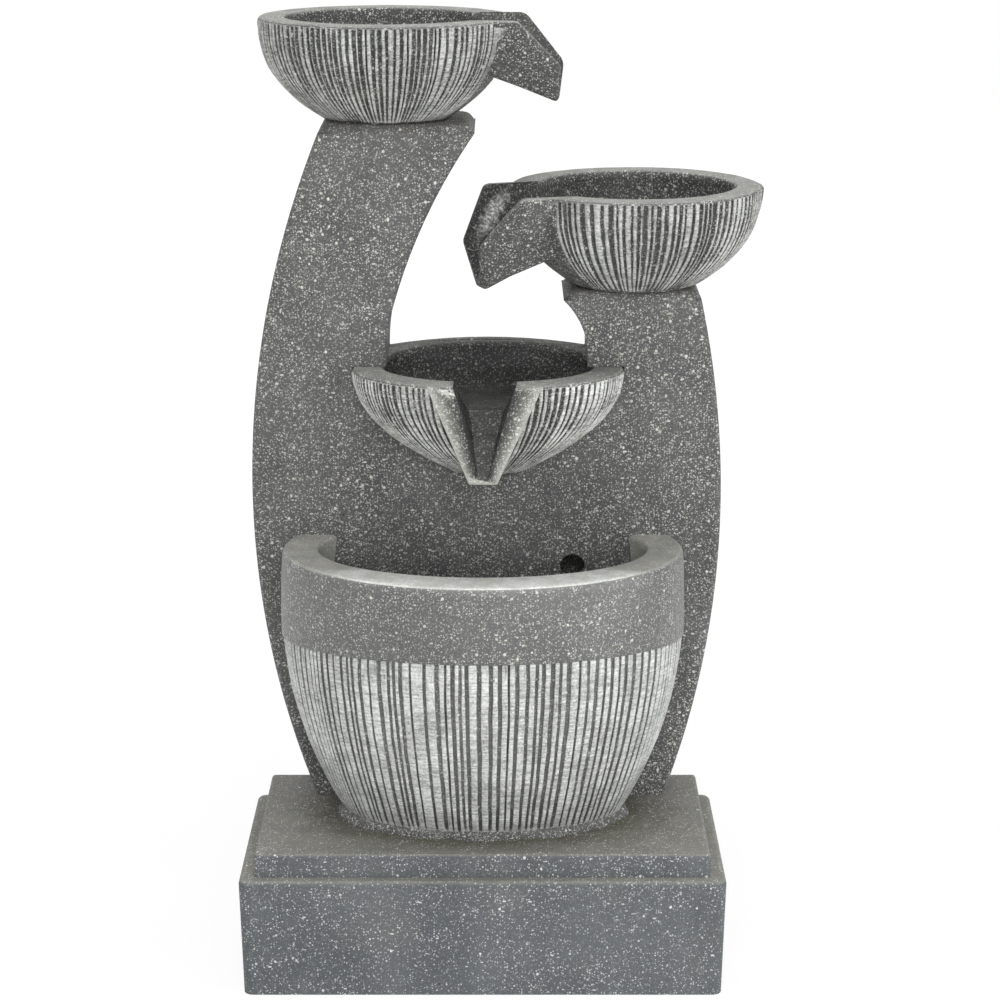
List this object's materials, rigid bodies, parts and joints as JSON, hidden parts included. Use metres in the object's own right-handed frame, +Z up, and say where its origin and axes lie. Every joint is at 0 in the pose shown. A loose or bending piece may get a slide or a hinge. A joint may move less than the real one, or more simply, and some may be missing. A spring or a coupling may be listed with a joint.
{
  "type": "tiered fountain",
  "caption": "Free-standing garden fountain: a two-armed column on a stepped plinth carries spouted bowls that pour from one to the next into a half-round basin with a pump.",
  "frame": {"origin": "middle of the plinth's underside, on the ground", "axes": "+Z up; +X to the viewer's right when facing the basin; +Y from the basin to the back cover"},
  "size_m": [0.427, 0.2811, 0.788],
  "materials": {
    "cast_stone": "matt speckled cast resin stone",
    "cast_basin": "speckled cast resin stone, ribs rubbed with pale paint",
    "cast_bowl": "speckled cast resin stone, ribs rubbed with pale paint",
    "bedding": "matt resin mortar",
    "base_board": "matt board",
    "door_plastic": "matt grey",
    "black_rubber": "matt",
    "clear_hose": "soft milky tube",
    "screw_steel": "zinc plated",
    "fitting_plastic": "moulded",
    "pump_plastic": "moulded",
    "ceramic_bush": "ground",
    "magnet_ferrite": "sintered",
    "sponge_foam": "open foam"
  },
  "bodies": {
    "fountain": {"back_cover_screws": "screw_steel", "base_plate": "base_board", "basin": "cast_basin", "basin_bead": "bedding", "cable_grommet": "black_rubber", "column_back_cover": "cast_stone", "column_front_shell": "cast_stone", "delivery_hose": "clear_hose", "door_gasket": "black_rubber", "hose_grommet": "black_rubber", "inlet_gasket": "black_rubber", "inlet_nipple": "fitting_plastic", "inlet_nut": "fitting_plastic", "middle_bowl": "cast_bowl", "plinth": "cast_stone", "pump_cable_gland": "black_rubber", "pump_feet": "black_rubber", "pump_front_bush": "ceramic_bush", "pump_motor_housing": "pump_plastic", "pump_outlet_barb": "pump_plastic", "pump_rear_bush": "ceramic_bush", "pump_shaft": "ceramic_bush", "pump_volute": "pump_plastic", "right_bowl": "cast_bowl", "right_bowl_collar": "bedding", "top_bowl": "cast_bowl", "top_bowl_collar": "bedding", "wall_plug": "black_rubber"},
    "rotor": {"pump_impeller": "fitting_plastic", "pump_magnet": "magnet_ferrite"},
    "intake_cover": {"pump_intake_cover": "pump_plastic", "pump_sponge": "sponge_foam"},
    "flow_dial": {"pump_flow_dial": "fitting_plastic"},
    "access_door": {"access_door": "door_plastic"}
  },
  "joints": [
    {"name": "impeller_spin", "type": "hinge", "parent": "fountain", "child": "rotor", "pos_m": [0.01, 0.011, 0.164], "axis": [1, 0, 0], "continuous": true},
    {"name": "intake_cover_pull", "type": "slide", "parent": "fountain", "child": "intake_cover", "axis": [-1, 0, 0], "range_m": [0, 0.022]},
    {"name": "flow_dial_turn", "type": "hinge", "parent": "intake_cover", "child": "flow_dial", "pos_m": [-0.028, 0.011, 0.164], "axis": [-1, 0, 0], "range_deg": [0, 90]},
    {"name": "access_door_pull", "type": "slide", "parent": "fountain", "child": "access_door", "axis": [0, 1, 0], "range_m": [0, 0.06]}
  ]
}
